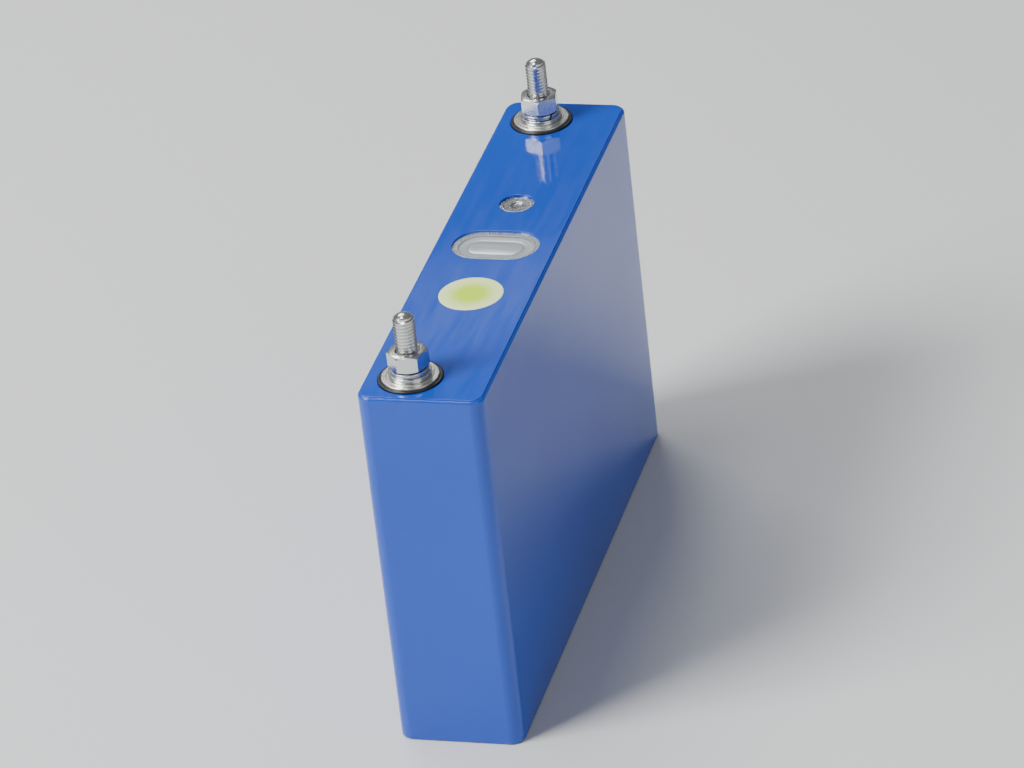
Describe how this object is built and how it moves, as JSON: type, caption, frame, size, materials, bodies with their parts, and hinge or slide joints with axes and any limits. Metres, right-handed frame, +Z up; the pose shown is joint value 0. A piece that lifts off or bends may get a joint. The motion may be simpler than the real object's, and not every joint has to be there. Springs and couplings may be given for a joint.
{
  "type": "prismatic battery cell",
  "caption": "Long, narrow prismatic rechargeable cell in glossy blue film, with a threaded stud, washers and hex nut at each end of its flat lid, both set to one side.",
  "frame": {"origin": "centre of the base, on the surface that the cell stands on", "axes": "+Z up through the lid, +Y along the cell's long side towards the negative terminal, +X across its thickness, away from the side that the studs are nearer to"},
  "size_m": [0.0356, 0.169, 0.13],
  "materials": {
    "blue_film": "glossy blue insulating film",
    "blue_sheet": "glossy blue insulating sheet",
    "yellow_paper": "satin yellow sticker with a pale rim",
    "clear_film": "clear protective film",
    "can_aluminium": "drawn, satin",
    "lid_aluminium": "machined, satin",
    "plated_terminal": "bright nickel plate",
    "stainless_steel": "bright machined stainless steel",
    "black_plastic": "moulded black engineering plastic",
    "white_plastic": "moulded white polypropylene",
    "pale_film": "thin translucent insulating film",
    "black_rubber": "moulded rubber",
    "electrode_foil": "coated electrode foil and separator, wound",
    "amber_tape": "adhesive film tape",
    "copper": "plain copper"
  },
  "bodies": {
    "cell": {"sleeve": "blue_film", "can": "can_aluminium", "lid_plate": "lid_aluminium", "top_sheet": "blue_sheet", "marker_dot": "yellow_paper", "vent_plate": "lid_aluminium", "vent_film": "clear_film", "fill_pin": "black_rubber", "fill_cap": "lid_aluminium", "lower_insulator": "white_plastic", "inner_bag": "pale_film", "bottom_tray": "white_plastic", "left_roll": "electrode_foil", "right_roll": "electrode_foil", "left_roll_tapes": "amber_tape", "right_roll_tapes": "amber_tape", "positive_insulator": "black_plastic", "negative_insulator": "black_plastic", "positive_seal": "black_rubber", "negative_seal": "black_rubber", "positive_post": "plated_terminal", "negative_post": "plated_terminal", "positive_stud": "stainless_steel", "negative_stud": "stainless_steel", "positive_collector": "can_aluminium", "negative_collector": "copper", "positive_tabs": "can_aluminium", "negative_tabs": "copper"},
    "positive_washers": {"positive_flat_washer": "stainless_steel", "positive_spring_washer": "stainless_steel"},
    "positive_nut": {"positive_nut": "stainless_steel"},
    "negative_washers": {"negative_flat_washer": "stainless_steel", "negative_spring_washer": "stainless_steel"},
    "negative_nut": {"negative_nut": "stainless_steel"}
  },
  "joints": [
    {"name": "positive_washer_lift", "type": "slide", "parent": "cell", "child": "positive_washers", "axis": [0, 0, 1], "range_m": [0, 0.0141]},
    {"name": "positive_nut_turn", "type": "hinge", "parent": "positive_washers", "child": "positive_nut", "pos_m": [-0.005, -0.073, 0.1163], "axis": [0, 0, 1], "range_deg": [0, 5040]},
    {"name": "negative_washer_lift", "type": "slide", "parent": "cell", "child": "negative_washers", "axis": [0, 0, 1], "range_m": [0, 0.0141]},
    {"name": "negative_nut_turn", "type": "hinge", "parent": "negative_washers", "child": "negative_nut", "pos_m": [-0.005, 0.073, 0.1163], "axis": [0, 0, 1], "range_deg": [0, 5040]}
  ],
  "couplings": [
    {"joint": "positive_washer_lift", "follows": "positive_nut_turn", "m_per_rad": 0.00015915},
    {"joint": "negative_washer_lift", "follows": "negative_nut_turn", "m_per_rad": 0.00015915}
  ]
}
